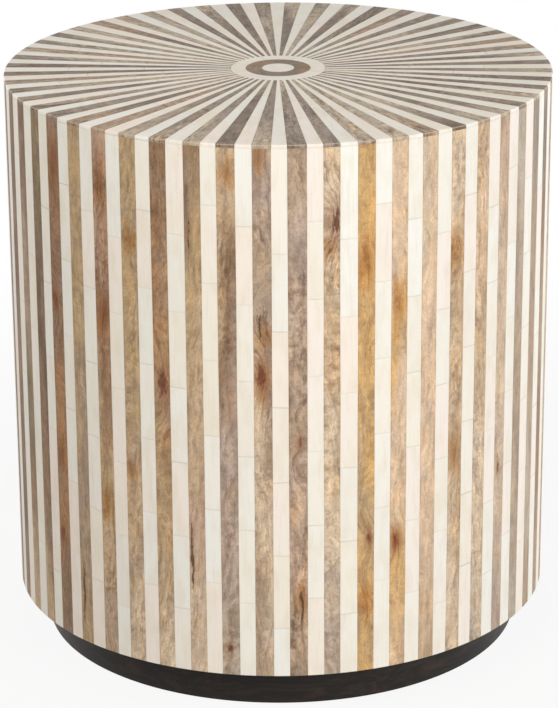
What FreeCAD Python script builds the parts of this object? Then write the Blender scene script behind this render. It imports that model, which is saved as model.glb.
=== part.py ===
"""Round side table with a striped skin of bone and wood inlay, in millimetres.

The drum is coopered: flat staves stand in a ring between two round panels, tied by three inside hoops.
Strips of bone and wood cover the wall, wedges of the same cover the top, and a plinth carries it all.
The origin is on the floor under the middle of the table, +Z is up and the front is -Y.
Angles are in degrees round +Z from the front, so that a bone strip is in the middle of the front.
"""

import FreeCAD
import Part
import math
import os

# Overall sizes
TABLE_HEIGHT = 480.0
DRUM_RADIUS = 225.0
PLINTH_SETBACK = 23.5
PLINTH_HEIGHT = 36.0
FLOOR_GAP = 0.5  # the plinth's height off the floor with its feet screwed right in

# Inlay
STAVES = 26
PAIRS_PER_STAVE = 2  # bone and wood strips side by side on one stave
SIDE_INLAY = 4.0
TOP_INLAY = 3.0
RIM_ROUND = 1.0
TILE_LENGTH = 63.0  # about how long the bone tiles are
TILE_STAGGER = 0.33  # how far a strip's seams stray from even spacing, in tile lengths
JOINT_LINE = 0.2  # the gap between neighbouring pieces of inlay
RING_RADIUS = 39.0
WOOD_RING_RADIUS = 26.5
DISC_RADIUS = 13.2
BONE_RING_PIECES = 8
WOOD_RING_PIECES = 4

# Drum core
STAVE_THICKNESS = 16.0
PANEL_THICKNESS = 18.0
HOOP_WIDTH = 40.0
HOOP_HEIGHT = 22.0

# Plinth
PLINTH_SEGMENTS = 8
PLINTH_WIDTH = 55.0
PLINTH_EASE = 1.0
BISCUIT_LENGTH = 30.0
BISCUIT_WIDTH = 18.0
BISCUIT_THICKNESS = 4.0
BISCUIT_CLEARANCE = 0.1

# Screws
SCREW_RADIUS = 2.25
SCREW_HEAD_RADIUS = 4.5
SCREW_HEAD_HEIGHT = 2.6
SCREW_TIP = 4.0
SCREW_COVER = 5.0  # the panel thickness left over a screw's tip
SCREW_CLEARANCE = 0.1
RECESS_SIZE = 4.4
RECESS_WIDTH = 1.1
RECESS_DEPTH = 1.6
HOOP_SCREWS = 8
PLINTH_SCREW_ANGLE = 13.0  # from the middle of a plinth segment to each of its two screws

# Levelling feet
FOOT_RADIUS = 15.0
FOOT_HEIGHT = 7.0
FOOT_CHAMFER = 1.2
FOOT_GRIPS = 10
GRIP_RADIUS = 1.6
POCKET_CLEARANCE = 1.5
STEM_RADIUS = 4.0
STEM_HEAD_RADIUS = 7.0
STEM_HEAD_HEIGHT = 2.0
STEM_HEAD_SEAT = 2.0  # the foot's thickness under the stem's head
STEM_CLEARANCE = 0.05
STEM_BORE_CLEARANCE = 0.5
STEM_COVER = 4.0  # the plinth's height left over the stem
INSERT_RADIUS = 6.0
INSERT_LENGTH = 15.0
INSERT_CLEARANCE = 0.05

# Places worked out from the sizes
GOLDEN = (math.sqrt(5.0) - 1.0) / 2.0
ORIGIN = FreeCAD.Vector(0.0, 0.0, 0.0)
UP = FreeCAD.Vector(0.0, 0.0, 1.0)
STRIP_PAIRS = STAVES * PAIRS_PER_STAVE
PAIR_ANGLE = 360.0 / STRIP_PAIRS
STRIP_ANGLE = PAIR_ANGLE / 2.0
STAVE_ANGLE = 360.0 / STAVES
PIECE_ANGLE = STRIP_ANGLE - math.degrees(JOINT_LINE / DRUM_RADIUS)
SEGMENT_ANGLE = 360.0 / PLINTH_SEGMENTS
SEAT_RADIUS = DRUM_RADIUS - SIDE_INLAY  # from the axis to the flats that the strips are glued to
STAVE_INSIDE = SEAT_RADIUS - STAVE_THICKNESS
DRUM_BOTTOM = FLOOR_GAP + PLINTH_HEIGHT
TOP_SEAT = TABLE_HEIGHT - TOP_INLAY
STAVE_BOTTOM = DRUM_BOTTOM + PANEL_THICKNESS
STAVE_TOP = TOP_SEAT - PANEL_THICKNESS
HOOP_SCREW_CIRCLE = STAVE_INSIDE - HOOP_WIDTH / 2.0
PLINTH_RADIUS = DRUM_RADIUS - PLINTH_SETBACK
PLINTH_INSIDE = PLINTH_RADIUS - PLINTH_WIDTH
PLINTH_CIRCLE = PLINTH_RADIUS - PLINTH_WIDTH / 2.0
SCREW_BITE = PANEL_THICKNESS - SCREW_COVER
HOOP_SCREW_LENGTH = HOOP_HEIGHT + SCREW_BITE
PLINTH_SCREW_LENGTH = PLINTH_HEIGHT + SCREW_BITE
STEM_TOP = DRUM_BOTTOM - STEM_COVER
SEGMENT_TURNS = [SEGMENT_ANGLE * n for n in range(PLINTH_SEGMENTS)]
HOOP_SCREW_TURNS = [360.0 / HOOP_SCREWS * (n + 0.5) for n in range(HOOP_SCREWS)]
FOOT_SEGMENTS = range(1, PLINTH_SEGMENTS, 2)  # every second segment carries a foot


def at(radius, angle, z):
    """The point at an angle from the front."""
    turn = math.radians(angle)
    return FreeCAD.Vector(radius * math.sin(turn), -radius * math.cos(turn), z)


def turned(shape, angle):
    """A copy of a shape, turned round the table's axis."""
    copy = shape.copy()
    copy.rotate(ORIGIN, UP, angle)
    return copy


def moved(shape, place):
    """A copy of a shape, moved by a vector."""
    copy = shape.copy()
    copy.translate(place)
    return copy


def prism(points, height):
    """A solid with straight sides over the polygon of these points."""
    return Part.Face(Part.makePolygon(points + points[:1])).extrude(UP * height)


def flat_sided(sides, apothem, first_corner, z, height):
    """A regular prism round the axis, with a given distance from the axis to its flats."""
    corner = apothem / math.cos(math.pi / sides)
    points = [at(corner, first_corner + 360.0 / sides * n, z) for n in range(sides)]
    return prism(points, height)


def round_bar(radius, place, height):
    """An upright cylinder standing at a place."""
    return Part.makeCylinder(radius, height, place, UP)


def spun(points):
    """A turned solid from its half section, given as pairs of radius and height."""
    section = [FreeCAD.Vector(r, 0.0, z) for r, z in points]
    return Part.Face(Part.makePolygon(section + section[:1])).revolve(ORIGIN, UP, 360.0)


def share(n):
    """An even but irregular-looking spread of values over 0 to 1."""
    return n * GOLDEN % 1.0


def seams(start, end, strip):
    """Where the ends of a strip's bone tiles lie between two places, the two ends included."""
    count = max(1, round(abs(end - start) / TILE_LENGTH))
    stray = TILE_STAGGER * (2.0 * share(strip) - 1.0)
    inner = [start + (end - start) * (n + stray) / count for n in range(1, count)]
    return [start, *inner, end]


def tiles(start, end, strip):
    """The two ends of each bone tile in a strip, a joint line apart."""
    ends = seams(start, end, strip)
    half = math.copysign(JOINT_LINE / 2.0, end - start)
    pairs = []
    for low, high in zip(ends, ends[1:]):
        low_gap = 0.0 if low == start else half
        high_gap = 0.0 if high == end else half
        pairs.append((low + low_gap, high - high_gap))
    return pairs


def side_piece(low, high):
    """One strip of side inlay at the front: flat behind, radial at its sides and round in front."""
    half = PIECE_ANGLE / 2.0
    back = SEAT_RADIUS / math.cos(math.radians(half))
    left_back = at(back, -half, low)
    right_back = at(back, half, low)
    right_front = at(DRUM_RADIUS, half, low)
    left_front = at(DRUM_RADIUS, -half, low)
    outline = [
        Part.LineSegment(left_back, right_back),
        Part.LineSegment(right_back, right_front),
        Part.Arc(right_front, at(DRUM_RADIUS, 0.0, low), left_front),
        Part.LineSegment(left_front, left_back),
    ]
    wire = Part.Wire([edge.toShape() for edge in outline])
    return Part.Face(wire).extrude(UP * (high - low))


def top_piece(inner, outer, angle):
    """One piece of top inlay at the front, between two radii, with a rounded edge at the rim."""
    start = -angle / 2.0
    if outer < DRUM_RADIUS:
        corners = [(inner, TOP_SEAT), (outer, TOP_SEAT), (outer, TABLE_HEIGHT), (inner, TABLE_HEIGHT)]
        points = [at(r, start, z) for r, z in corners]
        section = Part.Face(Part.makePolygon(points + points[:1]))
        return section.revolve(ORIGIN, UP, angle)
    ease = min(RIM_ROUND, 0.9 * TOP_INLAY)
    turn = ease * (1.0 - math.sqrt(0.5))
    foot = at(inner, start, TOP_SEAT)
    rim_foot = at(outer, start, TOP_SEAT)
    rim_side = at(outer, start, TABLE_HEIGHT - ease)
    rim_middle = at(outer - turn, start, TABLE_HEIGHT - turn)
    rim_top = at(outer - ease, start, TABLE_HEIGHT)
    top = at(inner, start, TABLE_HEIGHT)
    outline = [
        Part.LineSegment(foot, rim_foot),
        Part.LineSegment(rim_foot, rim_side),
        Part.Arc(rim_side, rim_middle, rim_top),
        Part.LineSegment(rim_top, top),
        Part.LineSegment(top, foot),
    ]
    wire = Part.Wire([edge.toShape() for edge in outline])
    return Part.Face(wire).revolve(ORIGIN, UP, angle)


def side_bone_tiles():
    """Bone strips round the wall, each made of tiles butted end to end."""
    solids = []
    for strip in range(STRIP_PAIRS):
        for low, high in tiles(DRUM_BOTTOM, TOP_SEAT, strip):
            solids.append(turned(side_piece(low, high), PAIR_ANGLE * strip))
    return solids


def side_wood_strips():
    """Wood strips round the wall, each one full length."""
    strip = side_piece(DRUM_BOTTOM, TOP_SEAT)
    return [turned(strip, PAIR_ANGLE * (n + 0.5)) for n in range(STRIP_PAIRS)]


def top_bone_wedges():
    """Bone wedges of the sunburst, each made of tiles from the medallion out to the rim."""
    solids = []
    for strip in range(STRIP_PAIRS):
        for inner, outer in tiles(RING_RADIUS + JOINT_LINE, DRUM_RADIUS, strip + 1):
            solids.append(turned(top_piece(inner, outer, PIECE_ANGLE), PAIR_ANGLE * strip))
    return solids


def top_wood_wedges():
    """Wood wedges of the sunburst, each one full length."""
    wedge = top_piece(RING_RADIUS + JOINT_LINE, DRUM_RADIUS, PIECE_ANGLE)
    return [turned(wedge, PAIR_ANGLE * (n + 0.5)) for n in range(STRIP_PAIRS)]


def ring_pieces(inner, outer, pieces):
    """A ring of the medallion, cut into equal arcs."""
    angle = 360.0 / pieces
    arc = top_piece(inner, outer, angle - math.degrees(JOINT_LINE / outer))
    return [turned(arc, angle * n) for n in range(pieces)]


def medallion_bone_disc():
    """The round of bone in the middle of the top."""
    return [round_bar(DISC_RADIUS, UP * TOP_SEAT, TOP_INLAY)]


def screw(length, slack=0.0):
    """A countersunk screw pointing up from its head at the origin, or with slack the hole for it."""
    shank = SCREW_RADIUS + slack
    head = SCREW_HEAD_RADIUS + slack
    return spun(
        [
            (0.0, 0.0),
            (head, 0.0),
            (shank, SCREW_HEAD_HEIGHT),
            (shank, length - SCREW_TIP + slack),
            (0.0, length + slack),
        ]
    )


def recessed_screw(length):
    """A screw with a cross recess in its head."""
    across = FreeCAD.Vector(-RECESS_SIZE / 2.0, -RECESS_WIDTH / 2.0, 0.0)
    bar = Part.makeBox(RECESS_SIZE, RECESS_WIDTH, RECESS_DEPTH, across)
    return screw(length).cut([bar, turned(bar, 90.0)])


def downward(shape, height):
    """A shape that stands at the origin, turned over to hang from a height."""
    copy = shape.copy()
    copy.rotate(ORIGIN, FreeCAD.Vector(1.0, 0.0, 0.0), 180.0)
    copy.translate(UP * height)
    return copy


def in_top_hoop(shape):
    """Copies of a screw or its hole, pointing up through the top hoop."""
    low = STAVE_TOP - HOOP_HEIGHT
    return [moved(shape, at(HOOP_SCREW_CIRCLE, turn, low)) for turn in HOOP_SCREW_TURNS]


def in_bottom_hoop(shape):
    """Copies of a screw or its hole, pointing down through the bottom hoop."""
    hung = downward(shape, STAVE_BOTTOM + HOOP_HEIGHT)
    return [moved(hung, at(HOOP_SCREW_CIRCLE, turn, 0.0)) for turn in HOOP_SCREW_TURNS]


def in_plinth(shape):
    """Copies of a screw or its hole, pointing up through the plinth."""
    sides = [-PLINTH_SCREW_ANGLE, PLINTH_SCREW_ANGLE]
    turns = [turn + side for turn in SEGMENT_TURNS for side in sides]
    return [moved(shape, at(PLINTH_CIRCLE, turn, FLOOR_GAP)) for turn in turns]


def panel(low, holes):
    """A round panel whose edge is cut flat for each strip of inlay."""
    blank = flat_sided(2 * STRIP_PAIRS, SEAT_RADIUS, STRIP_ANGLE / 2.0, low, PANEL_THICKNESS)
    return [blank.cut(holes)]


def stave(n):
    """One stave of the wall: a flat inside, bevelled edges and an outside flat for each strip."""
    strips = 2 * PAIRS_PER_STAVE
    first = -STRIP_ANGLE / 2.0
    corner = SEAT_RADIUS / math.cos(math.radians(STRIP_ANGLE / 2.0))
    inside = STAVE_INSIDE / math.cos(math.radians(STAVE_ANGLE / 2.0))
    points = [at(corner, first + STRIP_ANGLE * edge, STAVE_BOTTOM) for edge in range(strips + 1)]
    points.append(at(inside, first + STAVE_ANGLE, STAVE_BOTTOM))
    points.append(at(inside, first, STAVE_BOTTOM))
    return [turned(prism(points, STAVE_TOP - STAVE_BOTTOM), STAVE_ANGLE * n)]


def hoop(low, holes):
    """A ring inside the wall, with a flat for each stave."""
    blank = flat_sided(STAVES, STAVE_INSIDE, -STRIP_ANGLE / 2.0, low, HOOP_HEIGHT)
    bore = round_bar(STAVE_INSIDE - HOOP_WIDTH, UP * low, HOOP_HEIGHT)
    return [blank.cut([bore, *holes])]


def biscuit(slack=0.0):
    """A lens-shaped key at the mitre in front, half in each segment, or with slack the slot for it."""
    mitre = PLINTH_INSIDE / math.cos(math.radians(SEGMENT_ANGLE / 2.0))
    middle = -(mitre + PLINTH_RADIUS) / 2.0
    long = BISCUIT_LENGTH / 2.0 + slack
    wide = BISCUIT_WIDTH / 2.0 + slack
    low = FLOOR_GAP + (PLINTH_HEIGHT - BISCUIT_THICKNESS) / 2.0 - slack
    front = FreeCAD.Vector(0.0, middle - long, low)
    back = FreeCAD.Vector(0.0, middle + long, low)
    left = FreeCAD.Vector(-wide, middle, low)
    right = FreeCAD.Vector(wide, middle, low)
    outline = [Part.Arc(front, right, back), Part.Arc(back, left, front)]
    wire = Part.Wire([edge.toShape() for edge in outline])
    return Part.Face(wire).extrude(UP * (BISCUIT_THICKNESS + 2.0 * slack))


def at_mitres(shape):
    """Copies of a biscuit or its slot, at every mitre."""
    return [turned(shape, turn + SEGMENT_ANGLE / 2.0) for turn in SEGMENT_TURNS]


def foot_hollow():
    """The pocket for a foot, the bore for its insert and the bore for its stem, cut up into the plinth."""
    place = at(PLINTH_CIRCLE, 0.0, 0.0)
    pocket = round_bar(FOOT_RADIUS + POCKET_CLEARANCE, place, FOOT_HEIGHT)
    low = place + UP * FOOT_HEIGHT
    seat = round_bar(INSERT_RADIUS + INSERT_CLEARANCE, low, INSERT_LENGTH)
    bore_height = STEM_TOP + STEM_BORE_CLEARANCE - FOOT_HEIGHT
    bore = round_bar(STEM_RADIUS + STEM_BORE_CLEARANCE, low, bore_height)
    return [pocket, seat, bore]


def plinth_segment(n):
    """One length of the plinth ring: mitred ends, a flat inside and a round outside with eased rims."""
    half = SEGMENT_ANGLE / 2.0
    mitre = PLINTH_INSIDE / math.cos(math.radians(half))
    left_inside = at(mitre, -half, FLOOR_GAP)
    right_inside = at(mitre, half, FLOOR_GAP)
    right_outside = at(PLINTH_RADIUS, half, FLOOR_GAP)
    left_outside = at(PLINTH_RADIUS, -half, FLOOR_GAP)
    outline = [
        Part.LineSegment(left_inside, right_inside),
        Part.LineSegment(right_inside, right_outside),
        Part.Arc(right_outside, at(PLINTH_RADIUS, 0.0, FLOOR_GAP), left_outside),
        Part.LineSegment(left_outside, left_inside),
    ]
    wire = Part.Wire([edge.toShape() for edge in outline])
    block = Part.Face(wire).extrude(UP * PLINTH_HEIGHT)
    rims = [edge for edge in block.Edges if isinstance(edge.Curve, Part.Circle)]
    blank = block.makeFillet(PLINTH_EASE, rims)
    hole = screw(PLINTH_SCREW_LENGTH, SCREW_CLEARANCE)
    sides = (-PLINTH_SCREW_ANGLE, PLINTH_SCREW_ANGLE)
    holes = [moved(hole, at(PLINTH_CIRCLE, side, FLOOR_GAP)) for side in sides]
    slots = [turned(biscuit(BISCUIT_CLEARANCE), side) for side in (-half, half)]
    hollow = foot_hollow() if n in FOOT_SEGMENTS else []
    return [turned(blank.cut(holes + slots + hollow), SEGMENT_TURNS[n])]


def leveller_insert():
    """The threaded sleeve that a stem turns in, flush with the top of the foot's pocket."""
    low = at(PLINTH_CIRCLE, 0.0, FOOT_HEIGHT)
    sleeve = round_bar(INSERT_RADIUS, low, INSERT_LENGTH)
    return sleeve.cut(round_bar(STEM_RADIUS + STEM_CLEARANCE, low, INSERT_LENGTH))


def leveller_stem():
    """A foot's stem, with the head that is moulded into the foot."""
    low = STEM_HEAD_SEAT + STEM_CLEARANCE
    stem = spun(
        [
            (0.0, low),
            (STEM_HEAD_RADIUS, low),
            (STEM_HEAD_RADIUS, low + STEM_HEAD_HEIGHT),
            (STEM_RADIUS, low + STEM_HEAD_HEIGHT),
            (STEM_RADIUS, STEM_TOP),
            (0.0, STEM_TOP),
        ]
    )
    return moved(stem, at(PLINTH_CIRCLE, 0.0, 0.0))


def leveller_foot():
    """A foot with a chamfered sole and finger grips round its rim, moulded round the stem's head."""
    sole = spun(
        [
            (0.0, 0.0),
            (FOOT_RADIUS - FOOT_CHAMFER, 0.0),
            (FOOT_RADIUS, FOOT_CHAMFER),
            (FOOT_RADIUS, FOOT_HEIGHT),
            (0.0, FOOT_HEIGHT),
        ]
    )
    head_room = STEM_HEAD_HEIGHT + 2.0 * STEM_CLEARANCE
    cavity = round_bar(STEM_HEAD_RADIUS + STEM_CLEARANCE, UP * STEM_HEAD_SEAT, head_room)
    neck = round_bar(STEM_RADIUS + STEM_CLEARANCE, UP * STEM_HEAD_SEAT, FOOT_HEIGHT)
    grip_turns = [360.0 / FOOT_GRIPS * n for n in range(FOOT_GRIPS)]
    grips = [round_bar(GRIP_RADIUS, at(FOOT_RADIUS, turn, 0.0), FOOT_HEIGHT) for turn in grip_turns]
    return moved(sole.cut([cavity, neck, *grips]), at(PLINTH_CIRCLE, 0.0, 0.0))


hoop_hole = screw(HOOP_SCREW_LENGTH, SCREW_CLEARANCE)
plinth_hole = screw(PLINTH_SCREW_LENGTH, SCREW_CLEARANCE)
hoop_screw = recessed_screw(HOOP_SCREW_LENGTH)
plinth_screw = recessed_screw(PLINTH_SCREW_LENGTH)
foot_turns = [SEGMENT_TURNS[n] for n in FOOT_SEGMENTS]

nodes = {
    "side_bone_tiles": side_bone_tiles(),
    "side_wood_strips": side_wood_strips(),
    "top_bone_wedges": top_bone_wedges(),
    "top_wood_wedges": top_wood_wedges(),
    "medallion_bone_ring": ring_pieces(WOOD_RING_RADIUS + JOINT_LINE, RING_RADIUS, BONE_RING_PIECES),
    "medallion_wood_ring": ring_pieces(DISC_RADIUS + JOINT_LINE, WOOD_RING_RADIUS, WOOD_RING_PIECES),
    "medallion_bone_disc": medallion_bone_disc(),
    "top_panel": panel(STAVE_TOP, in_top_hoop(hoop_hole)),
    "bottom_panel": panel(DRUM_BOTTOM, in_bottom_hoop(hoop_hole) + in_plinth(plinth_hole)),
    "top_hoop": hoop(STAVE_TOP - HOOP_HEIGHT, in_top_hoop(hoop_hole)),
    "middle_hoop": hoop((STAVE_BOTTOM + STAVE_TOP - HOOP_HEIGHT) / 2.0, []),
    "bottom_hoop": hoop(STAVE_BOTTOM, in_bottom_hoop(hoop_hole)),
    "top_hoop_screws": in_top_hoop(hoop_screw),
    "bottom_hoop_screws": in_bottom_hoop(hoop_screw),
    "plinth_screws": in_plinth(plinth_screw),
    "plinth_biscuits": at_mitres(biscuit()),
    "leveller_inserts": [turned(leveller_insert(), turn) for turn in foot_turns],
}
for n in range(STAVES):
    nodes[f"stave_{n + 1:02d}"] = stave(n)
for n in range(PLINTH_SEGMENTS):
    nodes[f"plinth_segment_{n + 1}"] = plinth_segment(n)
for n, turn in enumerate(foot_turns):
    nodes[f"leveller_stem_{n + 1}"] = [turned(leveller_stem(), turn)]
    nodes[f"leveller_foot_{n + 1}"] = [turned(leveller_foot(), turn)]

os.makedirs("parts", exist_ok=True)
for name, solids in nodes.items():
    shape = solids[0] if len(solids) == 1 else Part.makeCompound(solids)
    shape.exportStep(f"parts/{name}.step")
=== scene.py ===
import bmesh
import bpy
import math
import random
from collections import namedtuple
from mathutils import Matrix, Vector, noise


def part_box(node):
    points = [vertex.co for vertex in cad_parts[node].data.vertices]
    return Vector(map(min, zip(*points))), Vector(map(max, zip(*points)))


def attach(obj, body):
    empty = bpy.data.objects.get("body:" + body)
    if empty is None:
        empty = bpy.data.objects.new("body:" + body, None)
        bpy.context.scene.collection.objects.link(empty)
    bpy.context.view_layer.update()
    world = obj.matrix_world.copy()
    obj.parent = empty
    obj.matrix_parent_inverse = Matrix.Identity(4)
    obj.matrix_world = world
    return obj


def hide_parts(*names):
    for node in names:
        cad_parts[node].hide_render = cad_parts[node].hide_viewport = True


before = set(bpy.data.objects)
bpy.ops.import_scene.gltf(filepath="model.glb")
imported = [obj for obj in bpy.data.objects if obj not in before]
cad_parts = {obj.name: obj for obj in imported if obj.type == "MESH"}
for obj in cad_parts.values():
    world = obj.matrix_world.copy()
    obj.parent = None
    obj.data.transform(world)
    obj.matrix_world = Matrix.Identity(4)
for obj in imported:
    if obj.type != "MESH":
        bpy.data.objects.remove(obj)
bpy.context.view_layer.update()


# Staves
# The drum's wall is coopered: 26 flat staves of a plain pale wood stand edge to edge, bevelled and
# glued. The inlay hides them, so they are left as they come from the saw.


class Shade:
    """A shader socket that sums are written with: each sum on values adds its Math node."""

    def __init__(self, tree, socket=None):
        self.tree = tree
        self.socket = socket

    def node(self, kind, settings, sockets, output=0):
        """Adds a node: first its settings, then a value or a link for each socket that is named."""
        made = self.tree.nodes.new(kind)
        for name, value in settings.items():
            setattr(made, name, value)
        for name, value in sockets.items():
            if isinstance(value, Shade):
                self.tree.links.new(value.socket, made.inputs[name])
            else:
                made.inputs[name].default_value = value
        return Shade(self.tree, made.outputs[output] if made.outputs else None)

    def math(self, operation, *values):
        return self.node("ShaderNodeMath", {"operation": operation}, dict(enumerate(values)))

    def __add__(self, other):
        return self.math("ADD", self, other)

    def __radd__(self, other):
        return self.math("ADD", other, self)

    def __sub__(self, other):
        return self.math("SUBTRACT", self, other)

    def __rsub__(self, other):
        return self.math("SUBTRACT", other, self)

    def __mul__(self, other):
        return self.math("MULTIPLY", self, other)

    def __rmul__(self, other):
        return self.math("MULTIPLY", other, self)

    def __truediv__(self, other):
        return self.math("DIVIDE", self, other)

    def __rtruediv__(self, other):
        return self.math("DIVIDE", other, self)


def paint(red, green, blue):
    """A colour as a screen shows it, 0 to 255, turned into the light that it reflects."""
    shares = [value / 255.0 for value in (red, green, blue)]
    linear = [s / 12.92 if s <= 0.04045 else ((s + 0.055) / 1.055) ** 2.4 for s in shares]
    return (*linear, 1.0)


def new_finish(name):
    """An empty finish, and a Shade to start its nodes from."""
    finish = bpy.data.materials.new(name)
    finish.use_nodes = True
    finish.node_tree.nodes.clear()
    return finish, Shade(finish.node_tree)


def lay_surface(start, colour, roughness, normal, metallic=0.0, specular=0.5):
    """The finish's surface, whose colour, roughness and relief may vary from place to place."""
    sockets = {
        "Base Color": colour,
        "Roughness": roughness,
        "Normal": normal,
        "Metallic": metallic,
        "Specular IOR Level": specular,
    }
    shader = start.node("ShaderNodeBsdfPrincipled", {}, sockets)
    start.node("ShaderNodeOutputMaterial", {}, {"Surface": shader})


def parts(vector):
    """The three numbers of a vector."""
    split = vector.node("ShaderNodeSeparateXYZ", {}, {0: vector})
    return [Shade(vector.tree, socket) for socket in split.socket.node.outputs]


def joined(start, x, y, z):
    """A vector from three numbers."""
    return start.node("ShaderNodeCombineXYZ", {}, {0: x, 1: y, 2: z})


def cloud(place, detail=2.0, roughness=0.5):
    """Soft noise round one half, with one blotch to a unit of the place that it is read at."""
    settings = {"noise_dimensions": "3D"}
    sockets = {"Vector": place, "Scale": 1.0, "Detail": detail, "Roughness": roughness}
    return place.node("ShaderNodeTexNoise", settings, sockets)


def rise(value, low, high):
    """A smooth step: 0 below low, 1 above high."""
    sockets = {"Value": value, "From Min": low, "From Max": high}
    return value.node("ShaderNodeMapRange", {"interpolation_type": "SMOOTHSTEP"}, sockets)


def mixed(mask, under, over, how="MIX"):
    """One colour laid over another where the mask is 1."""
    settings = {"data_type": "RGBA", "blend_type": how}
    return mask.node("ShaderNodeMix", settings, {0: mask, 6: under, 7: over}, 2)


def relief(height, depth):
    """The normal of a surface whose height runs from 0 to 1 over a depth in metres."""
    return height.node("ShaderNodeBump", {}, {"Height": height, "Distance": depth, "Strength": 1.0})


def metres(start):
    """A place on the object, split into its three numbers in metres."""
    return parts(start.node("ShaderNodeTexCoord", {}, {}, "Object"))


def round_the_drum(start, pieces, first):
    """A place within one of several equal pieces round the drum, and the number of that piece.

    The place is how far along the chord, how far out from the axis and how far up.
    """
    x, y, z = metres(start)
    step = 2.0 * math.pi / pieces
    turn = start.math("ARCTAN2", x, 0.0 - y) - first
    piece = start.math("ROUND", turn / step)
    local = turn - piece * step
    reach = start.math("SQRT", x * x + y * y)
    return reach * start.math("SINE", local), reach * start.math("COSINE", local), z, piece


def dress(node, finish):
    """Gives a piece of the frame its finish."""
    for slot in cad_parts[node].material_slots:
        slot.material = finish


STAVES = 26
STRIPS_PER_STAVE = 4
STRIPS = STRIPS_PER_STAVE * STAVES
STRIP_ANGLE = 2.0 * math.pi / STRIPS
FIRST_STAVE = 1.5 * STRIP_ANGLE
SAW_STREAKS = 160.0
SAW_DEPTH = 0.0004

stave_wood, start = new_finish("stave_wood")
across, out, up, stave = round_the_drum(start, STAVES, FIRST_STAVE)
streaky = joined(start, across * SAW_STREAKS, out * SAW_STREAKS + stave * 3.7, up * 5.0)
streaks = cloud(streaky, 4.0, 0.6)
boards = cloud(joined(start, stave * 5.3, up * 2.0, out * 8.0))
pale = mixed(boards, paint(205, 174, 132), paint(188, 150, 104))
sawn = mixed(rise(streaks, 0.45, 0.75) * 0.6, pale, paint(146, 108, 70))
lay_surface(start, sawn, 0.62 + streaks * 0.25, relief(streaks, SAW_DEPTH))
for number in range(1, STAVES + 1):
    dress(f"stave_{number:02d}", stave_wood)


# Hoops and panels
# Three hoops of plywood are glued inside the staves, and two round plywood panels close the drum.
# Their faces are rotary-cut veneer with a broad, wandering figure, and their edges show the plies.
PLY = 0.0018
VENEER_DEPTH = 0.0003


def blotches(start, x_rate, y_rate, z_rate, detail=2.0, roughness=0.5):
    """Soft noise with so many blotches to a metre along each axis."""
    x, y, z = metres(start)
    return cloud(joined(start, x * x_rate, y * y_rate, z * z_rate), detail, roughness)


def facing_up(start):
    """How far the surface faces up: 1 on top, 0 on a wall."""
    return parts(start.node("ShaderNodeNewGeometry", {}, {}, "Normal"))[2]


core_ply, start = new_finish("core_ply")
x, y, z = metres(start)
drift = blotches(start, 7.0, 3.0, 2.0, 3.0)
figure = cloud(joined(start, x * 4.0, y * 70.0 + drift * 9.0, z * 30.0), 5.0, 0.6)
veneer = mixed(rise(figure, 0.4, 0.7), paint(206, 180, 142), paint(176, 141, 98))
ply = start.math("PINGPONG", z / PLY, 1.0)
edge_tone = mixed(rise(ply, 0.35, 0.65), paint(196, 165, 122), paint(138, 104, 70))
flat_face = rise(start.math("ABSOLUTE", facing_up(start)), 0.5, 0.8)
plywood = mixed(flat_face, edge_tone, veneer)
lay_surface(start, plywood, 0.58 + figure * 0.25, relief(figure, VENEER_DEPTH))
for name in ("top_hoop", "middle_hoop", "bottom_hoop", "top_panel", "bottom_panel"):
    dress(name, core_ply)


# Screws
# Countersunk steel screws with a cross recess hold the hoops and the plinth to the panels.
# They are zinc plated and passivated, so the steel has a faint yellow bloom that is dull in places.
SCUFF_DEPTH = 0.00005

plated_steel, start = new_finish("plated_steel")
bloom = blotches(start, 260.0, 260.0, 260.0, 3.0, 0.6)
scuffs = blotches(start, 900.0, 900.0, 120.0, 4.0, 0.65)
plating = mixed(rise(bloom, 0.35, 0.7), paint(186, 186, 182), paint(190, 172, 128))
roughness = 0.28 + bloom * 0.15 + scuffs * 0.2
lay_surface(start, plating, roughness, relief(scuffs, SCUFF_DEPTH), metallic=1.0)
for name in ("top_hoop_screws", "bottom_hoop_screws", "plinth_screws"):
    dress(name, plated_steel)


# Side bone tiles
# Bone is sawn into flat tiles about 63 mm long, glued end to end in upright strips, then sanded round
# with the drum and lacquered. Tiles differ a little in tone, and dark lac fills the lines between them.
Place = namedtuple("Place", "strip left right inner outer low high")
WELD = 1e-6
EDGE_SHIFT = 0.00055
EDGE_LEAN = 0.0004
EDGE_WAVE = 0.00022
EDGE_WAVES_PER_METRE = 14.0
EASE = 0.00009
ROW = 0.008
SIDE_FILL = 0.00009
SEAM_FILL = 0.00009
COLUMNS = (0.0, 0.25, 0.5, 0.75, 1.0)
SEAM_TILT = 0.0005
DEEPEST_TILE = 0.00009
SHALLOWEST_TILE = 0.00003
INLAY_SHARP = 30.0
BONE_DEPTH = 0.00004
SEEDS = 900.0
TINT_BIAS = 1.6
FILL_BIAS = 0.4
MM = 1000.0


def at(radius, angle, z):
    """The point at an angle from the front of the drum."""
    return Vector((radius * math.sin(angle), -radius * math.cos(angle), z))


def place_of(points, strip, middle):
    """Where a solid of the inlay lies: its strip's number, side angles, radii and heights."""
    turn = Matrix.Rotation(-middle, 3, "Z")
    flat = [turn @ point for point in points]
    angles = [middle + math.atan2(point.x, -point.y) for point in flat]
    radii = [math.hypot(point.x, point.y) for point in flat]
    heights = [point.z for point in flat]
    return Place(strip, min(angles), max(angles), min(radii), max(radii), min(heights), max(heights))


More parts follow.
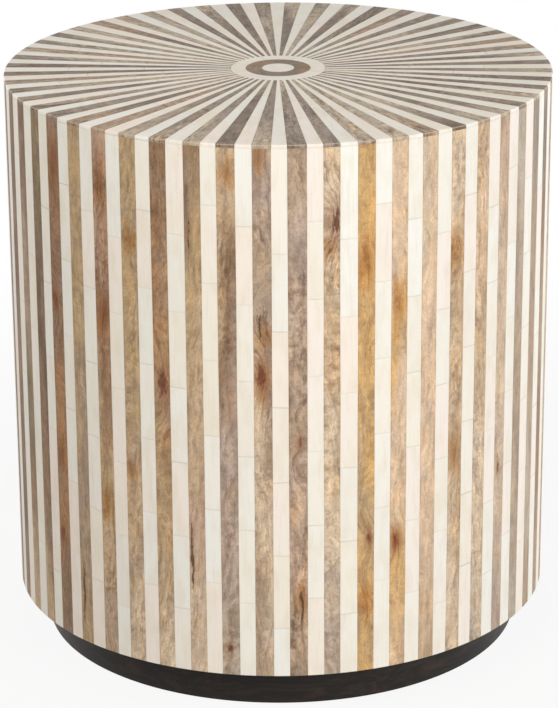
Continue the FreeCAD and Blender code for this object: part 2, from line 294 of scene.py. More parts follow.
def solids_of(node):
    """The points of each separate solid in a node, and the angle of its middle from the front."""
    mesh = bmesh.new()
    mesh.from_mesh(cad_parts[node].data)
    bmesh.ops.remove_doubles(mesh, verts=mesh.verts, dist=WELD)
    left = set(mesh.verts)
    solids = []
    for first in mesh.verts:
        if first not in left:
            continue
        left.remove(first)
        found = [first]
        for vertex in found:
            for edge in vertex.link_edges:
                other = edge.other_vert(vertex)
                if other in left:
                    left.remove(other)
                    found.append(other)
        points = [vertex.co.copy() for vertex in found]
        middle = sum(points, Vector())
        solids.append((points, math.atan2(middle.x, -middle.y)))
    mesh.free()
    return solids


def strips_of(node):
    """The places of a node's solids, strip by strip."""
    places = []
    for points, angle in solids_of(node):
        strip = round(angle / STRIP_ANGLE)
        places.append(place_of(points, strip, strip * STRIP_ANGLE))
    return sorted(places)


def by_strip(places):
    """The places in each strip, from the lowest or innermost up."""
    strips = {}
    for place in sorted(places, key=lambda place: (place.strip, place.low, place.inner)):
        strips.setdefault(place.strip, []).append(place)
    return strips


side_bones = strips_of("side_bone_tiles")
wall_low = min(place.low for place in side_bones)
wall_high = max(place.high for place in side_bones)


def chance(*words):
    """A steady source of random numbers for one named thing."""
    return random.Random(" ".join(str(word) for word in words))


def stray(edge, z):
    """How far the cut between two strips strays sideways at a height, in metres."""
    number = edge % STRIPS
    draw = chance("cut", number)
    shift = draw.uniform(-EDGE_SHIFT, EDGE_SHIFT)
    lean = draw.uniform(-EDGE_LEAN, EDGE_LEAN) * (z - wall_low) / (wall_high - wall_low)
    wave = EDGE_WAVE * noise.noise(Vector((number * 3.7, z * EDGE_WAVES_PER_METRE, 0.5)))
    return shift + lean + wave


def steps(low, high, longest):
    """Even steps from low to high."""
    count = max(2, math.ceil((high - low) / longest))
    return [low + (high - low) * n / count for n in range(count + 1)]


def inlay_mesh(layers):
    """An empty mesh for a group of inlay pieces, and the layers of values that its points carry."""
    mesh = bmesh.new()
    kinds = {"colour": mesh.verts.layers.float_color, "vector": mesh.verts.layers.float_vector}
    return mesh, {name: kinds[kind].new(name) for name, kind in layers.items()}


def add_piece(mesh, front, back, mark):
    """One closed piece of inlay from two grids of points: face, small chamfer, sides and back.

    mark is called with each new point and its row and column, to set the values that the point carries.
    """
    last_row = len(front) - 1
    last_column = len(front[0]) - 1

    def new_point(place, row, column):
        point = mesh.verts.new(place)
        mark(point, row, column)
        return point

    def eased(row, column):
        point = front[row][column]
        inward = Vector()
        if row == 0:
            inward += (front[1][column] - point).normalized()
        if row == last_row:
            inward += (front[row - 1][column] - point).normalized()
        if column == 0:
            inward += (front[row][1] - point).normalized()
        if column == last_column:
            inward += (front[row][column - 1] - point).normalized()
        return point + inward * EASE

    face = [[new_point(eased(r, c), r, c) for c in range(last_column + 1)] for r in range(last_row + 1)]
    border = [(0, c) for c in range(last_column)]
    border += [(r, last_column) for r in range(last_row)]
    border += [(last_row, c) for c in range(last_column, 0, -1)]
    border += [(r, 0) for r in range(last_row, 0, -1)]
    lip = {}
    foot = {}
    for r, c in border:
        inside = (back[r][c] - front[r][c]).normalized()
        lip[r, c] = new_point(front[r][c] + inside * EASE, r, c)
        foot[r, c] = new_point(back[r][c], r, c)
    for r in range(last_row):
        for c in range(last_column):
            mesh.faces.new((face[r][c], face[r][c + 1], face[r + 1][c + 1], face[r + 1][c]))
    for here, there in zip(border, border[1:] + border[:1]):
        mesh.faces.new((face[here[0]][here[1]], lip[here], lip[there], face[there[0]][there[1]]))
        mesh.faces.new((lip[here], foot[here], foot[there], lip[there]))
    for r in range(last_row):
        near = [(r, c) for c in range(last_column + 1)] if r == 0 else [(r, 0), (r, last_column)]
        far = [(r + 1, last_column), (r + 1, 0)]
        if r + 1 == last_row:
            far = [(last_row, c) for c in range(last_column, -1, -1)]
        mesh.faces.new([foot[key] for key in far[::-1] + near[::-1]])


def smooth_piece(name, mesh, sharpest, finish):
    """A piece made from a mesh, smooth apart from edges that turn by more than an angle in degrees."""
    bmesh.ops.recalc_face_normals(mesh, faces=mesh.faces)
    data = bpy.data.meshes.new(name)
    mesh.to_mesh(data)
    mesh.free()
    data.shade_smooth()
    data.set_sharp_from_angle(angle=math.radians(sharpest))
    data.materials.append(finish)
    piece = bpy.data.objects.new(name, data)
    bpy.context.scene.collection.objects.link(piece)
    return piece


def inlay_object(name, mesh, finish):
    """The finished group of inlay pieces, in place of the node of its name."""
    piece = smooth_piece(name + "_inlaid", mesh, INLAY_SHARP, finish)
    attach(piece, "root")
    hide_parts(name)


def wall_piece(mesh, place, low_tilt, high_tilt, sunk, mark):
    """One strip or tile of the wall, its ends tilted by a rise across its width."""
    middle = place.strip * STRIP_ANGLE
    seat = place.inner * math.cos(place.right - middle)
    front = []
    back = []
    for share in steps(0.0, 1.0, ROW / (place.high - place.low)):
        front_row = []
        back_row = []
        for across in COLUMNS:
            lowest = place.low + low_tilt * (across - 0.5)
            highest = place.high + high_tilt * (across - 0.5)
            z = lowest + (highest - lowest) * share
            left = place.left + (stray(place.strip, z) - SIDE_FILL) / place.outer
            right = place.right + (stray(place.strip + 1, z) + SIDE_FILL) / place.outer
            angle = left + (right - left) * across
            front_row.append(at(place.outer - sunk, angle, z))
            back_row.append(at(seat / math.cos(angle - middle), angle, z))
        front.append(front_row)
        back.append(back_row)
    width = (place.right - place.left) * place.outer

    def marked(point, row, column):
        across = (COLUMNS[column] - 0.5) * width
        height = front[row][column].z
        ends = min(row, len(front) - 1 - row) * (place.high - place.low) / (len(front) - 1)
        sides = width / 2.0 - abs(across)
        mark(point, across * MM, height * MM, sides * MM, ends * MM)

    add_piece(mesh, front, back, marked)


def carried(start, name, output="Vector"):
    """A value that the points of the inlay carry."""
    return start.node("ShaderNodeAttribute", {"attribute_name": name}, {}, output)


def specks(place):
    """How far the nearest of many scattered specks is, with about one speck to a unit of the place."""
    return place.node("ShaderNodeTexVoronoi", {"feature": "F1"}, {"Vector": place, "Scale": 1.0})


BONE_LAYERS = {"grain": "vector", "edge": "vector"}


def bone_mark(layers, seed, tint):
    """Marks a point of bone with its place in the tile, its distance from the edges and its tint."""

    def mark(point, across, along, sides, ends):
        point[layers["grain"]] = (across, along, seed)
        point[layers["edge"]] = (sides, ends, tint)

    return mark


def drawn_bone(layers, draw):
    """The marks of a bone piece whose figure and tint are left to chance."""
    return bone_mark(layers, draw.uniform(0.0, SEEDS), draw.random() ** TINT_BIAS)


def tile_sunk(draw):
    """How far a tile is sanded below the drum's full radius."""
    return draw.uniform(SHALLOWEST_TILE, DEEPEST_TILE)


bone, start = new_finish("bone")
across, along, seed = parts(carried(start, "grain"))
sides, ends, tint = parts(carried(start, "edge"))
growth = cloud(joined(start, across * 0.55, along * 0.03, seed), 4.0, 0.6)
mottle = cloud(joined(start, across * 0.10, along * 0.035, seed + 31.0), 3.0)
spots = specks(joined(start, across * 0.75, along * 0.16, seed))
porous = rise(cloud(joined(start, across * 0.08, along * 0.02, seed + 57.0)), 0.52, 0.66)
pores = (1.0 - rise(spots, 0.04, 0.15)) * porous

# Each tile is white to cream, some dull or pinkish, with mottling, growth lines, pores and grime.
tile_tone = mixed(rise(tint, 0.0, 0.5), paint(244, 243, 238), paint(244, 241, 233))
tile_tone = mixed(rise(tint, 0.5, 1.0), tile_tone, paint(244, 238, 226))
dull = rise(cloud(joined(start, seed * 3.3, 0.5, 0.5)), 0.5, 0.66)
tile_tone = mixed(dull * 0.4, tile_tone, paint(236, 233, 226))
blush = rise(cloud(joined(start, seed * 4.3, 2.5, 0.5)), 0.48, 0.6)
tile_tone = mixed(blush * 0.65, tile_tone, paint(248, 236, 228))
tile_tone = mixed(rise(mottle, 0.42, 0.7) * 0.36, tile_tone, paint(231, 220, 200))
tile_tone = mixed(rise(growth, 0.48, 0.76) * 0.2, tile_tone, paint(208, 195, 174))
tile_tone = mixed(pores * 0.4, tile_tone, paint(150, 132, 108))
grimy = rise(cloud(joined(start, seed * 5.1, 1.5, 0.5)), 0.54, 0.64)
end_stain = (1.0 - rise(ends, 0.1, 0.6)) * (0.1 + grimy * 0.22)
side_stain = (1.0 - rise(sides, 0.05, 0.35)) * 0.1
tile_tone = mixed(start.math("MAXIMUM", end_stain, side_stain), tile_tone, paint(140, 124, 104))
roughness = 0.46 + mottle * 0.12 + pores * 0.2
lay_surface(start, tile_tone, roughness, relief(growth * 0.5 - pores, BONE_DEPTH), specular=0.25)

mesh, layers = inlay_mesh(BONE_LAYERS)
for strip, tiles in by_strip(side_bones).items():
    tilts = [chance("seam", strip, n).uniform(-SEAM_TILT, SEAM_TILT) for n in range(1, len(tiles))]
    tilts = [0.0, *tilts, 0.0]
    fills = [chance("fill", strip, n).random() ** FILL_BIAS * SEAM_FILL for n in range(1, len(tiles))]
    fills = [0.0, *fills, 0.0]
    for n, tile in enumerate(tiles):
        draw = chance("tile", strip, n)
        mark = drawn_bone(layers, draw)
        filled = tile._replace(low=tile.low - fills[n], high=tile.high + fills[n + 1])
        wall_piece(mesh, filled, tilts[n], tilts[n + 1], tile_sunk(draw), mark)
inlay_object("side_bone_tiles", mesh, bone)


# Side wood strips
# Between the bone strips stand full-length strips of a figured wood, each cut from another board.
# They run from grey and mauve to golden and russet, with flecks, knots, checks and a few old stains.
TONES = {
    "ash": paint(186, 175, 160),
    "taupe": paint(172, 152, 133),
    "mauve": paint(178, 159, 147),
    "tan": paint(195, 171, 143),
    "straw": paint(213, 194, 171),
    "peach": paint(219, 193, 166),
    "golden": paint(207, 170, 117),
    "amber": paint(172, 134, 100),
    "russet": paint(154, 121, 97),
    "olive": paint(184, 160, 127),
    "umber": paint(144, 118, 95),
    "rose": paint(194, 168, 149),
    "slate": paint(146, 135, 126),
    "dusk": paint(126, 113, 103),
    "walnut": paint(116, 92, 72),
    "moss": paint(136, 119, 91),
}
WALL_TONES = {
    -23: "walnut umber",
    -21: "walnut walnut umber walnut umber",
    -19: "walnut umber taupe moss umber tan",
    -17: "moss walnut umber tan",
    -15: "russet umber amber umber",
    -13: "olive olive taupe olive",
    -11: "rose russet olive tan",
    -9: "olive olive tan straw",
    -7: "umber amber olive straw",
    -5: "umber olive tan rose straw",
    -3: "tan umber mauve ash",
    -1: "mauve taupe straw taupe",
    1: "taupe mauve taupe rose taupe",
    3: "straw tan straw ash",
    5: "golden golden olive golden",
    7: "peach peach golden peach peach golden peach",
    9: "straw peach peach peach tan",
    11: "straw tan straw",
    13: "tan peach tan straw straw ash",
    15: "rose straw mauve",
    17: "ash taupe ash",
    19: "slate taupe taupe ash taupe",
    21: "dusk umber taupe umber taupe",
    23: "taupe ash taupe",
}
WALL_WORDS = "ash taupe mauve tan straw peach golden amber olive umber rose".split()
WORDS_PER_STRIP = (3, 5)
FRONT_STRIPS = 21
Flaws = namedtuple("Flaws", "knots flames checks stain")
# Each flaw, in millimetres: how far from the strip's middle, how far above the floor, and its size.
KNOTS = {
    -15: [(-2.4, 124.0, 2.2), (-2.2, 328.0, 2.8)],
    -7: [(0.6, 281.0, 4.0)],
    -3: [(-0.6, 59.0, 1.7)],
    -1: [(-1.2, 293.0, 3.4)],
    1: [(1.2, 238.0, 1.4)],
    3: [(3.6, 418.0, 3.6)],
    5: [(2.4, 152.0, 2.0)],
    7: [(-2.0, 146.0, 2.3)],
    15: [(-1.5, 181.0, 1.4)],
}
FLAMES = {
    -15: [(0.0, 197.0, 24.0), (0.0, 440.0, 30.0)],
    -11: [(-1.0, 169.0, 20.0), (1.0, 328.0, 24.0), (-1.0, 435.0, 26.0)],
    -9: [(-2.5, 203.0, 13.0), (0.0, 395.0, 18.0)],
    -3: [(1.0, 458.0, 17.0)],
    -1: [(-0.8, 289.0, 28.0), (2.4, 326.0, 15.0), (-2.5, 470.0, 18.0)],
    1: [(2.5, 102.0, 18.0)],
    3: [(-1.5, 397.0, 11.0)],
    5: [(-0.5, 95.0, 24.0), (0.0, 384.0, 30.0)],
    7: [(-1.8, 147.0, 15.0), (-1.5, 350.0, 25.0)],
    11: [(-1.0, 212.0, 28.0), (-1.5, 380.0, 24.0)],
}
CHECKS = {
    -13: [(-2.6, 80.0, 32.0)],
    -5: [(-4.6, 137.0, 34.0), (-3.2, 407.0, 14.0)],
    -1: [(-1.5, 334.0, 12.0)],
    1: [(2.8, 100.0, 20.0)],
}
# How strongly each front strip is figured.
FIGURED = {
    -21: 0.3, -19: 0.3, -17: 0.55, -15: 0.5, -13: 0.5, -11: 0.85, -9: 0.65, -7: 0.65,
    -5: 0.55, -3: 0.75, -1: 0.75, 1: 0.95, 3: 0.8, 5: 0.6, 7: 0.45, 9: 0.3,
    11: 0.7, 13: 0.7, 15: 0.4, 17: 0.2, 19: 0.2, 21: 0.3,
}
FIGURED_RANGE = (0.15, 0.95)
# The height up to which a few strips are stained, in millimetres.
STAINS = {3: 135.0, -11: 96.0, 31: 210.0, 45: 330.0, -37: 160.0}
NOWHERE = 2000.0
NO_FLAWS = [(NOWHERE, NOWHERE, 1.0)]
UNFLAWED = Flaws(NO_FLAWS, NO_FLAWS, NO_FLAWS, -NOWHERE)
# The odds of one flaw more in a strip at the sides or the back, and its least and greatest size.
KNOT_CHANCE = (0.3, 1.2, 3.4)
FLAME_CHANCE = (0.5, 11.0, 30.0)
CHECK_CHANCE = (0.15, 12.0, 34.0)
FLAW_ACROSS = 4.0
FLAW_HEIGHTS = (50.0, 460.0)
# How a strip lies in its log, in millimetres: aside from the pith, above it, and how wide a ring is.
PITH_ASIDE = (6.0, 40.0)
PITH_DEPTH = (6.0, 36.0)
RING_WIDTH = (1.3, 2.6)
TAPER = 0.05
SLOPE = 0.2
TONE_SLANT = 0.03
TONE_WANDER = 0.8
KNOT_STRETCH = 0.11
FLAME_WIDTH = 8.5
WOOD_DEPTH = 0.00006
WOOD_LAYERS = {
    "grain": "vector",
    "edge": "vector",
    "log": "vector",
    "habit": "vector",
    "knot": "vector",
    "flare": "vector",
    "check": "vector",
    "tone": "colour",
}


def tone_along(words, share, wobble):
    """The tone of a strip at a share of its length, blending from one named tone to the next."""
    reach = min(max(share * (len(words) - 1) + wobble, 0.0), len(words) - 1.001)
    first = int(reach)
    blend = reach - first
    blend = blend * blend * (3.0 - 2.0 * blend)
    pairs = zip(TONES[words[first]], TONES[words[first + 1]])
    return [here + (there - here) * blend for here, there in pairs]


def flaws_of(table, strip, draw, odds, smallest, largest):
    """A strip's flaws of one kind: as the table places them at the front, and by chance elsewhere."""
    if abs(strip) <= FRONT_STRIPS:
        return table.get(strip, NO_FLAWS)
    flaws = []
    while draw.random() < odds:
        across = draw.uniform(-FLAW_ACROSS, FLAW_ACROSS)
        along = draw.uniform(*FLAW_HEIGHTS)
        flaws.append((across, along, draw.uniform(smallest, largest)))
    return sorted(flaws, key=lambda flaw: flaw[1]) or NO_FLAWS


def from_nearest(flaws, across, along):
    """A point's place from the nearest of a strip's flaws, and that flaw's size.

    Every second flaw counts downward, so that the place runs on evenly half way between two.
    """
    n = min(range(len(flaws)), key=lambda n: abs(along - flaws[n][1]))
    flaw_across, flaw_along, size = flaws[n]
    rising = -1.0 if n % 2 else 1.0
    return (across - flaw_across, (along - flaw_along) * rising, size)


def wood_mark(layers, draw, words, start_at, length, figured, flaws):
    """Marks a point of wood with its grain, tone and flaws, and its place in the log it came from."""
    seed = draw.uniform(0.0, SEEDS)
    slant = draw.uniform(-TONE_SLANT, TONE_SLANT)
    pith = draw.choice((-1.0, 1.0)) * draw.uniform(*PITH_ASIDE)
    depth = draw.uniform(*PITH_DEPTH)
    taper = draw.uniform(-TAPER, TAPER)
    ring = draw.uniform(*RING_WIDTH)
    slope = draw.uniform(-SLOPE, SLOPE)

    def mark(point, across, along, sides, ends):
        wander = noise.noise(Vector((across * 0.09, along * 0.012, seed)))
        wobble = wander * TONE_WANDER + slant * across
        point[layers["tone"]] = tone_along(words, (start_at - along) / length, wobble)
        point[layers["grain"]] = (across, along, seed)
        point[layers["edge"]] = (sides, ends, figured)
        point[layers["log"]] = (across - pith, along * taper, depth)
        point[layers["habit"]] = (ring, along - flaws.stain, along * slope)
        point[layers["knot"]] = from_nearest(flaws.knots, across, along)
        point[layers["flare"]] = from_nearest(flaws.flames, across, along)
        point[layers["check"]] = from_nearest(flaws.checks, across, along)

    return mark


def tinted(mask, wood, *tint):
    """Wood darkened or lightened by a tint where the mask is 1."""
    return mixed(mask, wood, (*tint, 1.0), "MULTIPLY")


inlay_wood, start = new_finish("inlay_wood")
across, along, seed = parts(carried(start, "grain"))
sides, ends, figured = parts(carried(start, "edge"))
from_pith, climb, depth = parts(carried(start, "log"))
ring, above_stain, lean = parts(carried(start, "habit"))
knot_across, knot_along, knot_size = parts(carried(start, "knot"))
flame_across, flame_along, flame_reach = parts(carried(start, "flare"))
check_across, check_along, check_reach = parts(carried(start, "check"))

# The grain bends round the knots, and the rings show where the strip lay in its log.
knot_blur = cloud(joined(start, across * 0.6, along * 0.17, seed + 41.0), 4.0, 0.65)
knot_far = start.math("SQRT", knot_across * knot_across + knot_along * knot_along * KNOT_STRETCH)
knot_far = knot_far / knot_size + (knot_blur - 0.5) * 2.8
knot_pull = 1.0 - rise(knot_far, 0.3, 3.2)
swirl = 1.0 - rise(knot_far, 3.0, 10.0)
sway = cloud(joined(start, across * 0.05, along * 0.012, seed), 2.0)
curl = cloud(joined(start, across * 0.06, along * 0.03, seed + 29.0), 2.0)
bend = (sway - 0.5) * 14.0 + (curl - 0.5) * 9.0 + knot_pull * knot_across * 1.5
bend = bend + swirl * start.math("ABSOLUTE", knot_along) * 0.4
out = from_pith + bend
growth = start.math("SQRT", out * out + depth * depth) + climb

# What follows the rings and what lies over them, from broad figure to fine pores.
figure = cloud(joined(start, growth * 0.24, along * 0.03, seed + 3.0), 5.0, 0.62)
fibre = cloud(joined(start, growth * 1.6, along * 0.06, seed + 7.0), 4.0, 0.65)
flecks = cloud(joined(start, growth * 0.5 + lean * 0.7, along * 0.09, seed + 11.0), 5.0, 0.68)
quilt = cloud(joined(start, (across + bend) * 0.16, along * 0.09, seed + 27.0), 4.0, 0.65)
mottle = cloud(joined(start, growth * 0.42, along * 0.17, seed + 47.0), 3.0, 0.6)
mottled = rise(cloud(joined(start, across * 0.05, along * 0.016, seed + 53.0), 2.0), 0.42, 0.6)
speckle = cloud(joined(start, across * 0.9, along * 0.5, seed + 15.0), 3.0, 0.7)
haze = cloud(joined(start, across * 0.08, along * 0.03, seed + 19.0), 3.0)
warmth = cloud(joined(start, across * 0.11, along * 0.035, seed + 23.0), 3.0)
lively = rise(cloud(joined(start, across * 0.04, along * 0.02, seed + 37.0), 2.0), 0.38, 0.62)
pores = 1.0 - rise(specks(joined(start, growth * 0.7, along * 0.1, seed)), 0.05, 0.22)
late = rise(start.math("PINGPONG", growth / ring + figure * 2.2, 1.0), 0.6, 0.97)

# The board's own tone, with grey, warm and cool patches and brown flares.
wood = carried(start, "tone", "Color")
wood = mixed(rise(haze, 0.48, 0.7) * 0.35, wood, paint(164, 150, 138))
wood = tinted(rise(warmth, 0.5, 0.66) * 0.45, wood, 1.04, 0.94, 0.8)
wood = tinted(rise(1.0 - warmth, 0.5, 0.66) * 0.5, wood, 0.97, 0.99, 1.06)
flame_wide = flame_across / FLAME_WIDTH
flame_long = flame_along / flame_reach
flame_far = start.math("SQRT", flame_wide * flame_wide + flame_long * flame_long)
flame_far = flame_far + (figure - 0.5) * 1.0 + (flecks - 0.5) * 1.6 + (fibre - 0.5) * 1.4
flame = 1.0 - rise(flame_far, 0.4, 1.1)
flame_heart = 1.0 - rise(flame_far + (quilt - 0.5) * 0.8, 0.1, 0.6)
wood = tinted(flame * 0.8, wood, 0.86, 0.68, 0.46)
wood = tinted(flame_heart * 0.65, wood, 0.66, 0.5, 0.36)

# Dark and light figure, blotches, rings, flecks and pores.
wood = tinted(rise(figure, 0.48, 0.68) * (0.4 + figured * 0.35), wood, 0.64, 0.58, 0.53)
wood = tinted(rise(1.0 - figure, 0.46, 0.68) * (0.4 + figured * 0.4), wood, 1.28, 1.25, 1.19)
wood = tinted(rise(quilt, 0.5, 0.68) * (0.12 + figured * 0.35), wood, 0.66, 0.6, 0.55)
wood = tinted(rise(1.0 - quilt, 0.47, 0.66) * (0.2 + figured * 0.4), wood, 1.26, 1.24, 1.2)
blotched = figured * (0.25 + mottled * 0.65)
wood = tinted(rise(mottle, 0.5, 0.62) * blotched, wood, 0.64, 0.56, 0.49)
wood = tinted(rise(1.0 - mottle, 0.5, 0.64) * blotched * 0.7, wood, 1.24, 1.22, 1.18)
ringed = 0.12 + lively * figured * 0.5 + flame * 0.25 + swirl * 0.35
wood = tinted(late * ringed, wood, 0.62, 0.54, 0.47)
streaks = figured * (0.3 + lively * 0.7)
wood = tinted(rise(flecks, 0.52, 0.66) * streaks * 0.6, wood, 0.54, 0.47, 0.42)
wood = tinted(rise(1.0 - flecks, 0.48, 0.66) * streaks * 0.85, wood, 1.36, 1.33, 1.28)
wood = tinted(rise(fibre, 0.48, 0.76) * 0.5, wood, 0.68, 0.62, 0.57)
wood = tinted(rise(speckle, 0.5, 0.66) * (0.2 + figured * 0.22), wood, 0.66, 0.6, 0.56)
wood = tinted(rise(1.0 - speckle, 0.48, 0.64) * (0.3 + figured * 0.3), wood, 1.22, 1.21, 1.18)
wood = tinted(pores * (0.18 + figured * 0.25), wood, 0.5, 0.42, 0.36)

# Old stains with a darker rim, and knots with a dark heart.
stain_line = above_stain - across * 0.7 + (sway - 0.5) * 24.0
stained = 1.0 - rise(stain_line, -1.5, 0.5)
stain_rim = rise(stain_line, -2.0, 0.0) * (1.0 - rise(stain_line, 0.0, 1.5))
wood = mixed(stained * 0.35, wood, paint(160, 142, 136))
wood = mixed(stain_rim * 0.5, wood, paint(140, 112, 66))
wood = mixed(knot_pull * 0.5, wood, paint(140, 88, 60))
heart_kind = rise(cloud(joined(start, seed * 2.7, 0.5, 0.5)), 0.45, 0.55)
heart_grain = cloud(joined(start, knot_across * 0.9, knot_along * 0.22, seed + 67.0), 4.0, 0.7)
knot_heart = mixed(heart_kind, paint(138, 72, 42), paint(104, 56, 42))
knot_heart = tinted(rise(heart_grain, 0.4, 0.6) * 0.75, knot_heart, 0.42, 0.34, 0.3)
wood = mixed((1.0 - rise(knot_far, 0.4, 1.3)) * (0.6 + heart_grain * 0.5), wood, knot_heart)

# Checks are ragged splits along the grain, with browned edges.
check_bend = check_across + (sway - 0.5) * 3.0 + (curl - 0.5) * 4.0 + (quilt - 0.5) * 5.0
check_end = 1.0 - rise(start.math("ABSOLUTE", check_along) / check_reach, 0.5, 1.0)
check_ragged = cloud(joined(start, across * 0.25, along * 0.07, seed + 61.0), 4.0, 0.65)
check_width = (0.35 + check_reach * 0.035) * check_end * rise(check_ragged, 0.32, 0.7)
check_far = start.math("ABSOLUTE", check_bend) - check_width
wood = mixed((1.0 - rise(check_far, 0.0, 2.2)) * check_end * 0.55, wood, paint(132, 98, 62))
check = (1.0 - rise(check_far, -0.1, 0.35)) * rise(check_width, 0.04, 0.2)
wood = mixed(check * 0.85, wood, paint(78, 56, 38))

# The rounded rim is painted paler: partly real wear, partly a painted highlight where the rounded edge
# catches the light. The lac darkens the edges beside it.
upward = facing_up(start)
# Painted highlight and wear: where the surface turns from the wall to the top, the wood is mixed towards
# a pale tone.
rim_wear_and_highlight = rise(upward, 0.15, 0.5) * (1.0 - rise(upward, 0.75, 0.97))
wood = mixed(rim_wear_and_highlight * 0.5, wood, paint(212, 194, 172))
rim_stain = (1.0 - rise(start.math("MINIMUM", sides, ends), 0.05, 0.6)) * 0.2
wood = mixed(rim_stain, wood, paint(96, 78, 64))
roughness = 0.52 + fibre * 0.18 + pores * 0.15
hollows = relief(fibre * 0.6 - pores * 0.6 - check * 2.0, WOOD_DEPTH)
lay_surface(start, wood, roughness, hollows, specular=0.3)

mesh, layers = inlay_mesh(WOOD_LAYERS)
for place in strips_of("side_wood_strips"):
    draw = chance("strip", place.strip)
    words = draw.choices(WALL_WORDS, k=draw.randint(*WORDS_PER_STRIP))
    words = WALL_TONES.get(place.strip, " ".join(words)).split()
    length = (place.high - place.low) * MM
    figured = FIGURED.get(place.strip, draw.uniform(*FIGURED_RANGE))
    flaws = Flaws(
        flaws_of(KNOTS, place.strip, draw, *KNOT_CHANCE),
        flaws_of(FLAMES, place.strip, draw, *FLAME_CHANCE),
        flaws_of(CHECKS, place.strip, draw, *CHECK_CHANCE),
        STAINS.get(place.strip, -NOWHERE),
    )
    mark = wood_mark(layers, draw, words, place.high * MM, length, figured, flaws)
    wall_piece(mesh, place, 0.0, 0.0, tile_sunk(draw), mark)
inlay_object("side_wood_strips", mesh, inlay_wood)


# Top wedges
# The top is a sunburst of thin wedges in line with the side strips: bone in three tiles, wood in one.
# They run out over the edge of the wall, where the rim is rounded over by hand sanding.
RIM_ROUND = 0.001
RIM_STEPS = 4
# Points on the seat under the rim, in shares of the rounding's radius out from where it starts.
RIM_SEAT = (-0.8, -0.6, -0.4, -0.2, 0.0, 0.3, 0.5)
TOP_COLUMNS = (0.0, 0.33, 0.67, 1.0)
TOP_TONES = "ash dusk ash dusk taupe slate slate slate".split()
TOP_FIGURED = (0.75, 1.2)
TONES_PER_WEDGE = 3

wall_radius = max(place.outer for place in side_bones)


def top_profile(inner, outer, seat, top, rim):
    """The face of a top piece from its inner end out, and the points on its seat behind them."""
    flat_end = outer - RIM_ROUND if rim else outer
    radii = steps(inner, flat_end, ROW)
    face = [(radius, top) for radius in radii]
    behind = [(radius, seat) for radius in radii]
    if rim:
        for n in range(1, RIM_STEPS + 1):
            turn = 0.5 * math.pi * n / RIM_STEPS
            drop = RIM_ROUND * (1.0 - math.cos(turn))
            face.append((flat_end + RIM_ROUND * math.sin(turn), top - drop))
        face += [(outer, (top + seat) / 2.0), (outer, seat)]
        behind[-1:] = [(flat_end + share * RIM_ROUND, seat) for share in RIM_SEAT]
    return face, behind


def top_piece(mesh, place, rim, sunk, mark):
    """One wedge or tile of the top between two radii."""
    outer = place.outer - sunk if rim else place.outer
    face, behind = top_profile(place.inner, outer, place.low, place.high - sunk, rim)
    left = place.left + stray(place.strip, wall_high) / wall_radius
    right = place.right + stray(place.strip + 1, wall_high) / wall_radius
    angles = [left + (right - left) * share for share in TOP_COLUMNS]
    front = [[at(radius, angle, z) for angle in angles] for radius, z in face]
    back = [[at(radius, angle, z) for angle in angles] for radius, z in behind]
    run = [0.0]
    for (radius, z), (next_radius, next_z) in zip(face, face[1:]):
        run.append(run[-1] + math.hypot(next_radius - radius, next_z - z))

    def marked(point, row, column):
        width = (right - left) * face[row][0]
        across = (TOP_COLUMNS[column] - 0.5) * width
        sides = width / 2.0 - abs(across)
        ends = min(run[row], run[-1] - run[row])
        mark(point, across * MM, (place.inner + run[row]) * MM, sides * MM, ends * MM)

    add_piece(mesh, front, back, marked)


top_bones = strips_of("top_bone_wedges")
top_radius = max(place.outer for place in top_bones)
mesh, layers = inlay_mesh(BONE_LAYERS)
for strip, tiles in by_strip(top_bones).items():
    for n, tile in enumerate(sorted(tiles, key=lambda tile: tile.inner)):
        draw = chance("top tile", strip, n)
        mark = drawn_bone(layers, draw)
        top_piece(mesh, tile, tile.outer > top_radius - RIM_ROUND, tile_sunk(draw), mark)
inlay_object("top_bone_wedges", mesh, bone)

mesh, layers = inlay_mesh(WOOD_LAYERS)
for place in strips_of("top_wood_wedges"):
    draw = chance("top wedge", place.strip)
    words = draw.choices(TOP_TONES, k=TONES_PER_WEDGE)
    length = (place.outer - place.inner) * MM
    figured = draw.uniform(*TOP_FIGURED)
    mark = wood_mark(layers, draw, words, place.outer * MM, length, figured, UNFLAWED)
    top_piece(mesh, place, True, tile_sunk(draw), mark)
inlay_object("top_wood_wedges", mesh, inlay_wood)


# Medallion
# Where the rays meet, a ring of bone, a ring of wood and a round of bone are let into the top.
# Each ring is glued up from curved pieces, and the round is one flat slice.
RING_TONES = ("dusk", "umber", "dusk", "umber")
RING_FIGURED = 0.5
ARC_STEP = 0.003
DISC_SPOKES = 64
DISC_SEED = 77.0
DISC_TINT = 0.5


def arcs_of(node):
    """The places of a ring's pieces, round from the front."""
    return sorted(place_of(points, 0, angle) for points, angle in solids_of(node))


def ring_piece(mesh, arc, sunk, mark):
    """One curved piece of a ring."""
    angles = steps(arc.left, arc.right, ARC_STEP / arc.outer)
    radii = [arc.inner + (arc.outer - arc.inner) * share for share in TOP_COLUMNS]
    front = [[at(radius, angle, arc.high - sunk) for radius in radii] for angle in angles]
    back = [[at(radius, angle, arc.low) for radius in radii] for angle in angles]
    width = arc.outer - arc.inner
    middle = (arc.outer + arc.inner) / 2.0

    def marked(point, row, column):
        across = (TOP_COLUMNS[column] - 0.5) * width
        along = (angles[row] - angles[0]) * middle
        ends = min(angles[row] - angles[0], angles[-1] - angles[row]) * middle
        mark(point, across * MM, along * MM, (width / 2.0 - abs(across)) * MM, ends * MM)

    add_piece(mesh, front, back, marked)


mesh, layers = inlay_mesh(BONE_LAYERS)
for n, arc in enumerate(arcs_of("medallion_bone_ring")):
    draw = chance("bone ring", n)
    mark = drawn_bone(layers, draw)
    ring_piece(mesh, arc, tile_sunk(draw), mark)
inlay_object("medallion_bone_ring", mesh, bone)

